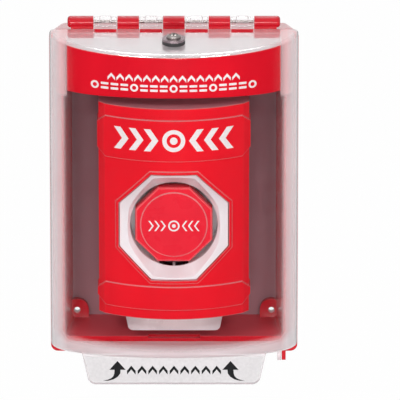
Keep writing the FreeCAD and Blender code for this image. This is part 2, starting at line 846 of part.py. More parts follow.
def make_button_cap():
    """Red eight-sided cap, hollow behind, with a low round face and a hub that turns on the
    plunger's pivot."""
    body = new_body("button_cap")
    outer = body_sketch(body, "cap_outline", "front", cap_rear)
    pad(body, draw_outline(outer, octagon(s.cap_flat, s.button_middle)), s.cap_height)
    hollow = body_sketch(body, "cap_hollow", "front", cap_rear)
    inner_flat = s.cap_flat - 2 * s.cap_wall
    draw_outline(hollow, octagon(inner_flat, s.button_middle))
    pocket(body, hollow, s.cap_height - s.cap_wall, forwards=True)
    hub = body_sketch(body, "cap_hub", "front", cap_rear)
    pad(body, draw_circle(hub, s.cap_hub, 0, s.button_middle), s.cap_height - s.cap_wall / 2)
    front_y = -s.cap_front.number
    soften(body, "Chamfer", s.cap_edge,
           lambda edge: abs(middle_of(edge).y - front_y) < 0.01 and edge.BoundBox.YLength < 0.01)
    face = body_sketch(body, "cap_face", "front", -(s.cap_front - s.cap_wall / 2))
    pad(body, draw_circle(face, s.cap_disc, 0, s.button_middle), s.cap_disc_raise + s.cap_wall / 2)
    bore = body_sketch(body, "cap_bore", "front", cap_rear)
    draw_circle(bore, s.pivot_diameter + 2 * s.pin_clearance, 0, s.button_middle)
    pocket(body, bore, s.pivot_length + s.running_gap, forwards=True)
    return body


def make_plunger():
    """Turned stem: pivot for the cap, round flange and long rear stem."""
    body = new_body("plunger")
    profile = body_sketch(body, "plunger_profile", "side", as_size(0), s.button_middle)
    tip, rear = cap_rear - s.pivot_length, -(s.box_front - s.stem_reach)
    pivot, flange, stem = s.pivot_diameter / 2, s.flange_diameter / 2, s.stem_diameter / 2
    shoulder = cap_rear + s.running_gap / 2
    draw_outline(profile, [(tip, 0), (rear, 0), (rear, stem), (flange_rear, stem), (flange_rear, flange),
                           (shoulder, flange), (shoulder, pivot), (tip, pivot)])
    turned = body.newObject("PartDesign::Revolution", "plunger_turned")
    turned.Profile = profile
    turned.ReferenceAxis = (profile, ["H_Axis"])
    turned.Angle = 360
    return body


def make_return_spring():
    """Coil spring between the plunger's flange and the floor of the holder's cup."""
    body = new_body("return_spring")
    half_wire = s.spring_wire / 2
    rear = -(s.box_front - s.holder_depth + s.holder_floor) - s.running_gap / 2 - half_wire
    front = flange_rear + s.running_gap / 2 + half_wire
    profile = body_sketch(body, "spring_wire_section", "side", as_size(0), s.button_middle)
    draw_circle(profile, s.spring_wire, front, spring_diameter / 2)
    coil = body.newObject("PartDesign::AdditiveHelix", "spring_coil")
    coil.Profile = profile
    coil.ReferenceAxis = (profile, ["H_Axis"])
    coil.Mode = "pitch-height-angle"
    bind(coil, "Pitch", s.spring_pitch)
    bind(coil, "Height", rear - front)
    return body


def make_contact_holder():
    """Black moulded holder behind the yoke: a flat base, and a body with a cup for the spring and
    a guide hole for the stem."""
    body = new_body("contact_holder")
    front = -s.box_front
    base = body_sketch(body, "holder_outline", "front", front + s.holder_base)
    draw_rounded(base, s.holder_width / 2, s.holder_height / 2, s.box_corner, s.button_middle)
    pad(body, base, s.holder_base)
    trunk = body_sketch(body, "holder_trunk", "front", front + s.holder_depth)
    draw_rounded(trunk, s.holder_body / 2, s.holder_height / 2 - s.box_corner, s.box_corner,
                 s.button_middle)
    pad(body, trunk, s.holder_depth)
    cup = body_sketch(body, "holder_cup", "front", front)
    pocket(body, draw_circle(cup, holder_cup, 0, s.button_middle), s.holder_depth - s.holder_floor)
    guide = body_sketch(body, "holder_guide", "front", front)
    draw_circle(guide, s.stem_diameter + 2 * s.running_gap, 0, s.button_middle)
    for side in (-1, 1):
        draw_circle(guide, s.small_shank + 2 * s.pin_clearance, side * holder_screw_x,
                    s.button_middle)
    pocket(body, guide)
    return body


def make_contact_block(side, word):
    """A switch block behind the holder, with clipped rear edges and two screw wells."""
    body = new_body(f"contact_block_{word}")
    front = -(s.box_front - s.holder_depth)
    rear = front + s.block_depth
    middle = side * block_x
    left, right = middle - s.block_width / 2, middle + s.block_width / 2
    chamfer = s.block_chamfer
    low = s.button_middle - s.block_height / 2
    plan = body_sketch(body, f"block_plan_{word}", "plan", low)
    draw_outline(plan, [(left, front), (right, front), (right, rear - chamfer), (right - chamfer, rear),
                        (left + chamfer, rear), (left, rear - chamfer)])
    pad(body, plan, s.block_height)
    wells = body_sketch(body, f"block_wells_{word}", "front", rear)
    for end in (-1, 1):
        draw_circle(wells, s.small_shank + 2 * s.pin_clearance, middle,
                    s.button_middle + end * s.terminal_upright / 2)
    pocket(body, wells, s.block_depth / 2, forwards=True)
    return body


def make_inner_screws():
    """The groups of screws inside the station and below it."""
    corners = [(side, end) for side in (-1, 1) for end in (-1, 1)]
    block_rear = -(s.box_front - s.holder_depth) + s.block_depth
    return [
        screw_group("box_screws", "rear",
                    [(side * box_screw_x, box_back, s.station_middle + end * box_screw_up) for side, end in corners],
                    s.large_head, s.large_head_height, s.large_shank,
                    s.box_wall + s.plate_thickness - s.running_gap),
        screw_group("yoke_screws", "rear",
                    [(0, yoke_front, s.station_middle + end * post_up) for end in (-1, 1)],
                    s.large_head, s.large_head_height, s.large_shank,
                    s.yoke_screw_length + s.yoke_thickness - s.running_gap),
        screw_group("holder_screws", "front",
                    [(side * holder_screw_x, s.holder_base - s.box_front, s.button_middle)
                     for side in (-1, 1)],
                    s.small_head, s.small_head_height, s.small_shank, s.holder_base + s.yoke_thickness),
        screw_group("terminal_screws", "front",
                    [(side * block_x, block_rear,
                      s.button_middle + end * s.terminal_upright / 2) for side, end in corners],
                    s.small_head, s.small_head_height, s.small_shank,
                    s.block_depth / 2 - s.running_gap),
        screw_group("housing_screws", "up",
                    [(side * s.housing_screw_across / 2, yoke_front - s.housing_screw_depth, station_foot)
                     for side in (-1, 1)],
                    s.small_head, s.small_head_height, s.small_shank, s.housing_screw_length),
    ]


def make_hinge_pin():
    length = s.hinge_length - s.pin_end_cover - s.running_gap
    return named("hinge_pin", rod("pin", "right", s.pin_diameter, length, -s.hinge_length / 2, hinge_y,
                                  hinge_z))


def make_sensor_magnet():
    """Bar magnet in the hollow top rim, against the back of the front flange."""
    front = -(s.frame_depth - s.frame_wall)
    channel_low = open_half_height + s.frame_wall
    low = channel_low + s.running_gap
    left = -s.magnet_across - s.magnet_length / 2
    return named("sensor_magnet", block("magnet", left, left + s.magnet_length, front,
                                        front + s.magnet_side, low, low + s.magnet_side))


def bowl(name, inset, rear, half_across=None, low=None, arch=False):
    """The cover's form, inset from its outer faces: an elliptic front between two drafted ends.
    low and half_across cut it off level and at the sides."""
    inset = as_size(inset)
    ellipse = doc.addObject("Part::Ellipse", name + "_plan")
    bind(ellipse, "MajorRadius", half_width - s.running_gap / 2 - inset)
    bind(ellipse, "MinorRadius", s.cover_depth - inset)
    place(ellipse, 0, -s.frame_depth, -s.frame_height)
    column = doc.addObject("Part::Extrusion", name + "_column")
    column.Base = ellipse
    column.DirMode = "Custom"
    column.Dir = Vector(0, 0, 1)
    column.Solid = True
    bind(column, "LengthFwd", 2 * s.frame_height)
    beyond = s.cover_depth + 2
    top = half_height - inset
    foot = -(s.cover_foot - inset) if low is None else low
    foot_front = foot + foot_slope * beyond if low is None else low
    half = half_width + 2 if half_across is None else half_across
    behind = -s.frame_depth - rear
    foot_rear = foot + foot_slope * behind if low is None else low
    side = prism(name + "_side", "side", -half, 2 * half,
                 [(-(s.frame_depth + beyond), foot_front), (rear, foot_rear),
                  (rear, top - cover_slope * behind), (-(s.frame_depth + beyond), top - cover_slope * beyond)])
    return common(name, column, side)


def make_dome_cover():
    """Clear cover: thin elliptic bowl with drafted ends, four hinge knuckles on straps, a lift
    tab hanging from its floor, a seal ear and the screw hole in its top."""
    outside = bowl("cover_outside", 0, cover_rear)
    doc.recompute()
    rounded = doc.addObject("Part::Fillet", "cover_rounded")
    rounded.Base = outside
    front_edge = -(s.frame_depth.number + s.cover_depth.number / 2)
    rounded.Edges = [
        (number, s.cover_round.number, s.cover_round.number)
        for number, edge in enumerate(outside.Shape.Edges, start=1)
        if middle_of(edge).y < front_edge and edge.BoundBox.XLength > s.frame_width.number / 2
    ]
    shell = cut("cover_shell", rounded, bowl("cover_inside", s.cover_wall, cover_rear + 1))

    barrels = []
    barrel_length = s.knuckle_pitch - s.knuckle_length - 2 * s.running_gap
    strap_foot = -(s.frame_depth + s.strap_reach)
    strap_rear = cover_rear
    surface = half_height - cover_slope * s.strap_reach
    for number in range(4):
        middle = (number - 1.5) * s.knuckle_pitch
        barrels.append(rod(f"cover_barrel_{number}", "right", 2 * (s.knuckle_radius - s.lug_step),
                           barrel_length, middle - barrel_length / 2, hinge_y, hinge_z))
        barrels.append(rod(f"cover_lug_{number}", "right", 2 * s.knuckle_radius, s.lug_length,
                           middle - s.lug_length / 2, hinge_y, hinge_z))
        barrels.append(prism(f"cover_strap_{number}", "side", middle - barrel_length / 2, barrel_length,
                             [(strap_foot, surface - s.cover_wall / 2),
                              (strap_rear, half_height - s.cover_wall / 2),
                              (strap_rear, hinge_z - s.knuckle_radius / 2),
                              (hinge_y, hinge_z - s.knuckle_radius / 2),
                              (hinge_y, hinge_z + s.knuckle_radius - s.lug_step),
                              (strap_foot, surface)]))

    tab_rear = -(s.frame_depth + s.cover_depth - s.tab_setback - s.tab_thickness / 2)
    tab_top = -(s.cover_foot - foot_slope * (s.cover_depth - s.tab_setback) - s.cover_wall / 2)
    tab = prism("cover_tab", "front", tab_rear, s.tab_thickness, *tab_outline(tab_top, as_size(0)))

    ear_right = s.ear_place - s.running_gap / 2
    ear_low = -(half_height + s.ear_drop)
    ear = prism("cover_ear", "side", ear_right - s.ear_thickness, s.ear_thickness,
                rectangle(cover_rear - s.ear_depth, cover_rear, ear_low, -(s.cover_foot - s.cover_wall / 2)))
    ear_hole = rod("cover_ear_hole", "right", s.ear_hole, 2 * s.ear_thickness,
                   ear_right - 1.5 * s.ear_thickness, -(s.frame_depth + s.ear_depth / 2),
                   ear_low + s.ear_hole)
    pin_hole = rod("cover_pin_hole", "right", s.pin_diameter + 2 * s.pin_clearance, s.frame_width,
                   -half_width, hinge_y, hinge_z)
    screw_hole = tilted_hole("cover_screw_hole", s.washer_hole, 2 * s.cover_wall)
    return named("dome_cover", cut("cover_moulding", fuse("cover_joined", shell, *barrels, tab, ear),
                                   pin_hole, screw_hole, ear_hole))


def tab_outline(top, border):
    """The lift tab's outline with round lower corners, less a border. Returns corners and arcs."""
    half_top = s.tab_width / 2 - border
    half_foot = s.tab_foot_width / 2 - border
    foot = -s.tab_drop + border
    corner = s.tab_corner - border
    corners = [(-(half_foot - corner), foot), (half_foot - corner, foot), (half_foot, foot + corner),
               (half_top, top), (-half_top, top), (-half_foot, foot + corner)]
    return corners, {1: corner * 1.02, 5: corner * 1.02}


def make_pull_label():
    """Thin printed label on the front of the lift tab."""
    front = -(s.frame_depth + s.cover_depth - s.tab_setback + s.tab_thickness / 2)
    top = -(s.cover_foot - foot_slope * (s.cover_depth - s.tab_setback) + s.label_border)
    return named("pull_label", prism("label_sheet", "front", front, s.label_thickness,
                                     *tab_outline(top, s.label_border)))


def on_the_slope(thing, lift=0):
    """Turn a piece square to the cover's sloping top, at the screw's place."""
    cosine = 1 / root(1 + cover_slope * cover_slope)
    thing.Placement = Placement(Vector(), Rotation(Vector(1, 0, 0), 1))
    bind(thing, "Placement.Rotation.Angle", slope_angle(s.cover_draft, s.cover_depth))
    surface = half_height - cover_slope * s.screw_setback
    return place(thing, 0, screw_y - lift * cosine * cover_slope, surface + lift * cosine)


def tilted_hole(name, diameter, depth):
    """A bar that cuts a hole for the screw, from above the cover down to a depth below it."""
    bar = doc.addObject("Part::Cylinder", name)
    bind(bar, "Radius", diameter / 2)
    bind(bar, "Height", depth + s.screw_head_height)
    return on_the_slope(bar, -depth)


hood_inset = s.cover_wall + s.running_gap
sounder_inset = hood_inset + s.hood_thickness
sounder_rear_y = -(s.frame_depth + s.sounder_rear)
screw_y = -(s.frame_depth + s.screw_setback)
cell_reach = s.sounder_rear + s.sounder_wall + s.running_gap + s.cell_diameter
sounder_ceiling = half_height - (sounder_inset + s.sounder_wall) - cover_slope * cell_reach
sounder_floor_top = sounder_ceiling - s.cell_room - s.cell_diameter
sounder_foot = sounder_floor_top - s.sounder_plate_thickness


def make_label_hood():
    """Red hood close behind the cover's front, with a slightly arched lower edge."""
    low = s.hood_foot - 2 * s.hood_arch
    outer = bowl("hood_outer", hood_inset, sounder_rear_y, s.hood_width / 2, low)
    inner = bowl("hood_inner", hood_inset + s.hood_thickness, sounder_rear_y + 1, s.hood_width / 2 + 1,
                 low - 1)
    ceiling = bowl("hood_ceiling", hood_inset, sounder_rear_y + 1, s.hood_width / 2 + 1, low - 1)
    half = s.hood_width / 2
    arch_radius = (half * half + s.hood_arch * s.hood_arch) / (2 * s.hood_arch)
    arch = rod("hood_arch", "front", 2 * arch_radius, s.frame_width, 0, 0, s.hood_foot - arch_radius)
    wall = common("hood_wall", cut("hood_ring", outer, extended_down("hood_core", low)), ceiling)
    return named("label_hood", cut("hood_moulding", wall, arch))


def extended_down(name, low):
    """The space inside the hood, open at its top, bottom and back."""
    ellipse = doc.addObject("Part::Ellipse", name + "_plan")
    inset = hood_inset + s.hood_thickness
    bind(ellipse, "MajorRadius", half_width - s.running_gap / 2 - inset)
    bind(ellipse, "MinorRadius", s.cover_depth - inset)
    place(ellipse, 0, -s.frame_depth, low - 1)
    column = doc.addObject("Part::Extrusion", name)
    column.Base = ellipse
    column.DirMode = "Custom"
    column.Dir = Vector(0, 0, 1)
    column.Solid = True
    bind(column, "LengthFwd", s.frame_height)
    return column


def make_sounder_housing():
    """Off-white housing under the cover's top, open below, with the screw's post in it. The post
    stands up to the cover's ceiling."""
    half = s.hood_width / 2 - s.running_gap
    outer = bowl("sounder_outer", sounder_inset, sounder_rear_y, half, sounder_floor_top)
    inner = bowl("sounder_inner", sounder_inset + s.sounder_wall, sounder_rear_y - s.sounder_wall,
                 half - s.sounder_wall, sounder_foot)
    post = common("sounder_post", bowl("post_space", s.cover_wall, sounder_rear_y, half, sounder_floor_top),
                  rod("sounder_post_rod", "up", s.screw_post, s.frame_height, 0, screw_y, sounder_floor_top))
    return named("sounder_housing", cut("sounder_moulding",
                                        fuse("sounder_joined", cut("sounder_cup", outer, inner), post),
                                        tilted_hole("sounder_post_hole", s.screw_shank + 2 * s.pin_clearance,
                                                    s.screw_length)))


def make_sounder_plate():
    """Plate under the sounder's rim, with sound slots and two posts for the board."""
    half = s.hood_width / 2 - s.running_gap
    level = bowl("plate_whole", sounder_inset, sounder_rear_y, half, sounder_foot)
    level = common("plate_level", level,
                   block("plate_slab", -half_width, half_width, -s.frame_width, as_size(0), sounder_foot,
                         sounder_floor_top))
    posts = [
        rod(f"board_post_{number}", "up", s.board_post, s.board_lift, x, board_y, sounder_floor_top)
        for number, x in enumerate((board_left + s.board_post / 2,
                                    board_left + s.board_length - s.board_post / 2))
    ]
    slots = [
        block(f"sound_slot_{number}", buzzer_x - s.slot_reach / 2, buzzer_x + s.slot_reach / 2,
              buzzer_y + (number - 2) * s.slot_pitch - s.slot_width / 2,
              buzzer_y + (number - 2) * s.slot_pitch + s.slot_width / 2,
              sounder_foot - 1, sounder_floor_top + 1)
        for number in range(5)
    ]
    return named("sounder_plate", cut("sounder_closing", fuse("plate_joined", level, *posts), *slots))


buzzer_x = -s.buzzer_across
buzzer_y = sounder_rear_y - s.sounder_wall - 2 * s.running_gap - s.buzzer_diameter / 2
board_left = -s.buzzer_across - s.board_length / 2
board_y = sounder_rear_y - s.sounder_wall - s.running_gap - s.board_post / 2 - 1
board_foot = sounder_floor_top + s.board_lift


def make_sounder_inside():
    """Buzzer, board, reed switch, cell and its clips, all carried by the sounder's plate."""
    buzzer = cut("buzzer_case",
                 rod("buzzer_can", "up", s.buzzer_diameter, s.buzzer_height, buzzer_x, buzzer_y,
                     sounder_floor_top),
                 rod("buzzer_port", "up", s.buzzer_hole, s.buzzer_height, buzzer_x, buzzer_y,
                     sounder_floor_top - 1))
    board_rear = board_y + s.board_post / 2
    board = block("board", board_left, board_left + s.board_length, board_rear - s.board_width, board_rear,
                  board_foot, board_foot + s.board_thickness)
    reed = rod("reed", "right", s.reed_diameter, s.reed_length, -s.magnet_across - s.reed_length / 2,
               board_rear - s.reed_diameter, board_foot + s.board_thickness + s.reed_diameter / 2)
    cell_left = s.cell_across - s.cell_length / 2
    cell_y = sounder_rear_y - s.sounder_wall - s.running_gap - s.cell_diameter / 2
    cell_z = sounder_floor_top + s.cell_diameter / 2
    cell = fuse("cell",
                rod("cell_can", "right", s.cell_diameter, s.cell_length, cell_left, cell_y, cell_z),
                rod("cell_nub", "right", s.cell_tip, 1, cell_left + s.cell_length, cell_y, cell_z))
    clips = []
    for number, (face, side) in enumerate(((cell_left, -1), (cell_left + s.cell_length + 1, 1))):
        near, far = face, face + side * s.clip_thickness
        toe = face + side * s.clip_foot
        clips.append(block(f"clip_upright_{number}", *sorted_pair(near, far, side),
                           cell_y - s.clip_width / 2, cell_y + s.clip_width / 2, sounder_floor_top,
                           cell_z + s.cell_tip / 2))
        clips.append(block(f"clip_foot_{number}", *sorted_pair(near, toe, side),
                           cell_y - s.clip_width / 2, cell_y + s.clip_width / 2, sounder_floor_top,
                           sounder_floor_top + s.clip_thickness))
    return [named("sounder_disc", buzzer), named("circuit_board", board), named("reed_switch", reed),
            named("battery_cell", cell), named("battery_clips", fuse("clips", *clips))]


def make_cover_fastening():
    """Rubber washer, steel washer and cross-head screw, square to the cover's sloping top."""

    def washer(name, thickness, lift):
        body = new_body(name)
        rings = body_sketch(body, name + "_rings", "plan", lift)
        draw_circle(rings, s.washer_diameter)
        draw_circle(rings, s.washer_hole)
        pad(body, rings, thickness)
        return on_the_slope(body)

    stack = s.rubber_thickness + s.washer_thickness
    screw = new_body("cover_screw")
    profile = body_sketch(screw, "screw_profile", "front", as_size(0), stack)
    head, shank = s.screw_head / 2, s.screw_shank / 2
    crown = s.screw_head_height * 0.45
    draw_outline(profile, [(0, -s.screw_length), (shank, -s.screw_length), (shank, 0), (head, 0),
                           (head, crown), (head * 0.45, s.screw_head_height), (0, s.screw_head_height)],
                 {4: s.screw_head * 0.6})
    turned = screw.newObject("PartDesign::Revolution", "screw_turned")
    turned.Profile = profile
    turned.ReferenceAxis = (profile, ["V_Axis"])
    turned.Angle = 360
    cross = body_sketch(screw, "screw_cross", "plan", stack + s.screw_head_height)
    arm, half_cross = s.screw_head * 0.3, s.screw_cross / 2
    draw_outline(cross, [(-half_cross, -arm), (half_cross, -arm), (half_cross, -half_cross),
                         (arm, -half_cross), (arm, half_cross), (half_cross, half_cross),
                         (half_cross, arm), (-half_cross, arm), (-half_cross, half_cross),
                         (-arm, half_cross), (-arm, -half_cross), (-half_cross, -half_cross)])
    pocket(screw, cross, s.screw_head_height * 0.5)
    return [washer("rubber_washer", s.rubber_thickness, as_size(0)),
            washer("steel_washer", s.washer_thickness, s.rubber_thickness), on_the_slope(screw)]


pieces = [
    make_mounting_frame(),
    make_back_plate(),
    make_back_box(),
    make_yoke_plate(),
    make_station_housing(),
    make_octagon_bezel(),
    make_button_cap(),
    make_plunger(),
    make_return_spring(),
    make_contact_holder(),
    make_contact_block(-1, "left"),
    make_contact_block(1, "right"),
    *make_inner_screws(),
    make_hinge_pin(),
    make_sensor_magnet(),
    make_dome_cover(),
    make_pull_label(),
    make_label_hood(),
    make_sounder_housing(),
    make_sounder_plate(),
    *make_sounder_inside(),
    *make_cover_fastening(),
]
doc.recompute()

failed = [thing.Name for thing in doc.Objects if {"Invalid", "Error"} & set(thing.State)]
if failed:
    raise RuntimeError(f"these objects failed: {failed}")
for piece in pieces:
    if piece.Shape.isNull() or not piece.Shape.isValid():
        raise RuntimeError(f"{piece.Label} has no valid shape")

os.makedirs("parts", exist_ok=True)
for piece in pieces:
    piece.Shape.exportStep(f"parts/{piece.Label}.step")
    print(f"{piece.Label}: {len(piece.Shape.Solids)} solids, {piece.Shape.Volume:.0f} mm3")
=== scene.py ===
"""Push-button call station under a lift-up clear cover: materials, printed marks, light and camera.

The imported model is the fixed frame. X runs right, the wall is the plane y = 0, the front faces
-Y and Z runs up. Objects are in metres, and a value in millimetres is multiplied by MM.
"""
import json
import math

import bmesh
import bpy
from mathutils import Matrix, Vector
from mathutils.bvhtree import BVHTree


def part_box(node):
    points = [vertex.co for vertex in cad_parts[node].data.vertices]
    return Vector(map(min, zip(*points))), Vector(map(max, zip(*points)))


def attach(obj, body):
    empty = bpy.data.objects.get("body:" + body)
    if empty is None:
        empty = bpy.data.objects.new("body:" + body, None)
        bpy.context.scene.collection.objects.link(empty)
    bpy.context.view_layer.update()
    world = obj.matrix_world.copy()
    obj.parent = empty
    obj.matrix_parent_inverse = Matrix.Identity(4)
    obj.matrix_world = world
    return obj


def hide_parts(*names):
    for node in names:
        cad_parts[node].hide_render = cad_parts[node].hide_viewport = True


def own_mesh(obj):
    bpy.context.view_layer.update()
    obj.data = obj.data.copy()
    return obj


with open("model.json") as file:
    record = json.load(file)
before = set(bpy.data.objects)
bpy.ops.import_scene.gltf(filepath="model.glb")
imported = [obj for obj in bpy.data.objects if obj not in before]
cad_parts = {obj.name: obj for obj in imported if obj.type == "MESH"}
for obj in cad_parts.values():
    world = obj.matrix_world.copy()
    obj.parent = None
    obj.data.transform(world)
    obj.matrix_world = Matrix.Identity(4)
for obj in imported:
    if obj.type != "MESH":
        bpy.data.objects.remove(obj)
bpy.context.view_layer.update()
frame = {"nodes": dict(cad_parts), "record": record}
nodes = frame["nodes"]

MM = 0.001
WHITE = (1.0, 1.0, 1.0, 1.0)


def add_object(name, data):
    """A new object, linked into the scene."""
    made = bpy.data.objects.new(name, data)
    bpy.context.scene.collection.objects.link(made)
    return made


def tone(colour, factor=1.0):
    """A colour made lighter or darker, with its alpha."""
    return tuple(min(channel * factor, 1.0) for channel in colour) + (1.0,)


class NodeTree:
    """The node tree of a material or a world, built a node at a time."""

    def __init__(self, owner):
        owner.use_nodes = True
        self.tree = owner.node_tree
        self.tree.nodes.clear()

    def feed(self, socket, value):
        """Give a socket a number, a colour or another node's output."""
        if isinstance(value, bpy.types.NodeSocket):
            self.tree.links.new(value, socket)
        else:
            socket.default_value = value

    def node(self, kind, inputs=None, **settings):
        """A new node. inputs go by the sockets' names or numbers."""
        made = self.tree.nodes.new(kind)
        for name, value in settings.items():
            setattr(made, name, value)
        for name, value in (inputs or {}).items():
            self.feed(made.inputs[name], value)
        return made

    def calc(self, operation, first, *others):
        """Arithmetic over two or more values in turn, each result kept between 0 and 1."""
        result = first
        for value in others:
            inputs = {0: result, 1: value}
            result = self.node("ShaderNodeMath", inputs, operation=operation, use_clamp=True).outputs[0]
        return result

    def seen_by_eye(self):
        """1 on the rays that reach the eye straight, by a mirror or through glass."""
        rays = self.node("ShaderNodeLightPath").outputs
        kinds = ("Is Camera Ray", "Is Glossy Ray", "Is Transmission Ray")
        return self.calc("MAXIMUM", *(rays[kind] for kind in kinds))


class Shader(NodeTree):
    """A material, with the patterns and masks that the finishes share."""

    # Where most of a noise's values lie.
    NOISE_RANGE = (0.3, 0.7)
    # How far a softened normal agrees with the flat one, just off an edge and on it.
    EDGE_RANGE = (0.995, 0.88)

    def __init__(self, name):
        self.material = bpy.data.materials.new(name)
        super().__init__(self.material)
        self.output = self.node("ShaderNodeOutputMaterial")
        self.place = self.node("ShaderNodeTexCoord").outputs["Object"]

    def surface(self, shader):
        """Put the shader on the material and hand the material over."""
        self.tree.links.new(shader.outputs[0], self.output.inputs["Surface"])
        return self.material

    def principled(self, inputs):
        return self.surface(self.node("ShaderNodeBsdfPrincipled", inputs))

    def noise(self, scale, detail=3.0, stretch=None):
        """A noise in the material; stretch is how much finer it is along X, Y and Z."""
        place = self.place
        if stretch:
            place = self.node("ShaderNodeMapping", {"Vector": place, "Scale": stretch}).outputs[0]
        inputs = {"Vector": place, "Scale": scale, "Detail": detail}
        return self.node("ShaderNodeTexNoise", inputs).outputs["Fac"]

    def map_range(self, value, start, end, low, high):
        """low where the value is at start, high where it is at end."""
        return self.node("ShaderNodeMapRange", {
            "Value": value, "From Min": start, "From Max": end, "To Min": low, "To Max": high,
        }).outputs[0]

    def spread(self, noise, low=0.0, high=1.0):
        """A noise's usual range, spread over low to high."""
        return self.map_range(noise, *self.NOISE_RANGE, low, high)

    def ramp(self, value, start, end, share=1.0):
        """0 up to start, and share from end on."""
        return self.map_range(value, start, end, 0.0, share)

    def zone(self, place, span, share=1.0):
        """A mask that begins at the span's first millimetre and is full at its second."""
        return self.ramp(place, span[0] * MM, span[1] * MM, share)

    def curve(self, value, spots):
        """A share read off a smooth curve through the spots."""
        made = self.node("ShaderNodeFloatCurve", {"Value": value})
        line = made.mapping.curves[0]
        line.points[0].location = spots[0]
        line.points[1].location = spots[-1]
        for spot in spots[1:-1]:
            line.points.new(*spot)
        made.mapping.update()
        return made.outputs[0]

    def blend(self, factor, first, second):
        """A mix of two colours: the first at 0, the second at 1."""
        mixed = self.node("ShaderNodeMix", data_type="RGBA")
        colours = [socket for socket in mixed.inputs if socket.type == "RGBA"]
        for socket, value in zip((mixed.inputs[0], *colours), (factor, first, second)):
            self.feed(socket, value)
        return next(socket for socket in mixed.outputs if socket.type == "RGBA")

    def part_of(self, vector, axis):
        return self.node("ShaderNodeSeparateXYZ", {0: vector}).outputs["XYZ".index(axis)]

    def along(self, axis):
        """The place along X, Y or Z, or along |X|, which is how far it lies off the middle."""
        if axis == "|X|":
            return self.node("ShaderNodeMath", {0: self.along("X")}, operation="ABSOLUTE").outputs[0]
        return self.part_of(self.place, axis)

    def flat_normal(self):
        return self.node("ShaderNodeNewGeometry").outputs["Normal"]

    def rounded(self, radius, samples=6):
        """The normal, softened at edges over a radius in millimetres."""
        return self.node("ShaderNodeBevel", {"Radius": radius * MM}, samples=samples).outputs[0]

    def bump(self, height, distance, strength, normal):
        """The normal, made uneven by a pattern of a depth in millimetres."""
        return self.node("ShaderNodeBump", {
            "Height": height, "Distance": distance * MM, "Strength": strength, "Normal": normal,
        }).outputs[0]

    def edges(self, radius, share):
        """A mask that is share on edges of a radius in millimetres, and 0 on flats."""
        inputs = {0: self.rounded(radius), 1: self.flat_normal()}
        same = self.node("ShaderNodeVectorMath", inputs, operation="DOT_PRODUCT").outputs["Value"]
        return self.ramp(same, *self.EDGE_RANGE, share)

    def upward(self, start, end, share):
        """A mask for faces that look up."""
        return self.ramp(self.part_of(self.flat_normal(), "Z"), start, end, share)


def plastic(name, colour, rough, grain=0.03, grain_scale=1400.0, edge=0.35, specular=0.5, coat=0.0,
            shade=0.9, painted_edge_highlight=0.0, painted_top_sheen=0.0, soften=None, painted_shade=None):
    """Moulded plastic: faint flow marks in its colour, uneven gloss, fine grain and soft edges.

    grain is the grain's depth and edge the edges' radius, in millimetres. shade is the colour's
    share in the darkest flow marks. painted_edge_highlight paints a pale highlight on the edges,
    and painted_top_sheen paints a pink sheen on the faces that look up.
    soften is the radius over which edges catch the light, where it isn't edge. painted_shade
    darkens one end with painted shade: along which axis, from and to which millimetre, by what
    share and to what colour.
    """
    lightest = 1.05
    looking_up = (0.7, 0.95)
    # Colour of the pink sheen painted on faces that look up.
    top_sheen_colour = (0.74, 0.40, 0.46)
    edge_highlight_colour = [0.45 + 0.4 * channel for channel in colour]
    s = Shader(name)
    flow = s.spread(s.noise(28.0, detail=4.0, stretch=(1.0, 1.0, 0.35)))
    base = s.blend(flow, tone(colour, shade), tone(colour, lightest))
    # A pale highlight painted on the edges, where light would catch them.
    if painted_edge_highlight:
        base = s.blend(s.edges(edge, painted_edge_highlight), base, tone(edge_highlight_colour))
    # Painted shade: one end of the piece darkened towards a darker colour.
    if painted_shade:
        axis, start, end, share, shade_colour = painted_shade
        base = s.blend(s.zone(s.along(axis), (start, end), share), base, tone(shade_colour))
    # A pink sheen painted on the faces that look up, where light from above falls on them.
    if painted_top_sheen:
        base = s.blend(s.upward(*looking_up, painted_top_sheen), base, tone(top_sheen_colour))
    return s.principled({
        "Base Color": base,
        "Roughness": s.spread(s.noise(90.0, detail=5.0), rough * 0.8, rough * 1.25),
        "Normal": s.bump(s.noise(grain_scale, detail=2.0), grain, 0.6, s.rounded(soften or edge)),
        "Specular IOR Level": specular,
        "Coat Weight": coat,
        "Coat Roughness": 0.06,
    })


def metal(name, colour, rough, brushed=(1.0, 1.0, 12.0)):
    """Plated or turned metal with fine lines one way and a little tarnish."""
    s = Shader(name)
    lines = s.noise(420.0, detail=4.0, stretch=brushed)
    tarnish = s.spread(s.noise(160.0))
    return s.principled({
        "Base Color": s.blend(tarnish, tone(colour, 0.78), tone(colour, 1.05)),
        "Roughness": s.spread(lines, rough * 0.7, rough * 1.4),
        "Normal": s.bump(lines, 0.01, 0.5, s.rounded(0.15, samples=4)),
        "Metallic": 1.0,
    })


def glass(name, colour):
    """Clear tinted glass with faint smears."""
    s = Shader(name)
    return s.principled({
        "Base Color": tone(colour),
        "Roughness": s.spread(s.noise(300.0), 0.02, 0.08),
        "Transmission Weight": 1.0,
        "IOR": 1.5,
    })


def print_ink(name, colour, rough=0.4):
    """Printed ink: slightly uneven cover and a satin face."""
    s = Shader(name)
    cover = s.spread(s.noise(650.0, detail=4.0))
    return s.principled({
        "Base Color": s.blend(cover, tone(colour, 0.93), tone(colour, 1.02)),
        "Roughness": s.spread(s.noise(400.0), rough * 0.85, rough * 1.2),
        "Specular IOR Level": 0.15,
    })


# The clear cover's zones, in millimetres: where each begins and where it is full. X is taken to
# either side of the middle.
SIDE_FLANGE_X = (62.0, 65.5)
SIDE_WALL_X = (70.8, 71.3)
# Where the red light painted beside the hood begins and where it dies away.
PAINTED_RED_STARTS_X = (61.0, 62.0)
PAINTED_RED_ENDS_X = (65.0, 69.0)
HOOD_LEVEL_Z = (63.0, 64.5)
CURVED_FRONT_Y = (-36.0, -46.0)
COVER_FOOT_Z = (-80.0, -85.0)

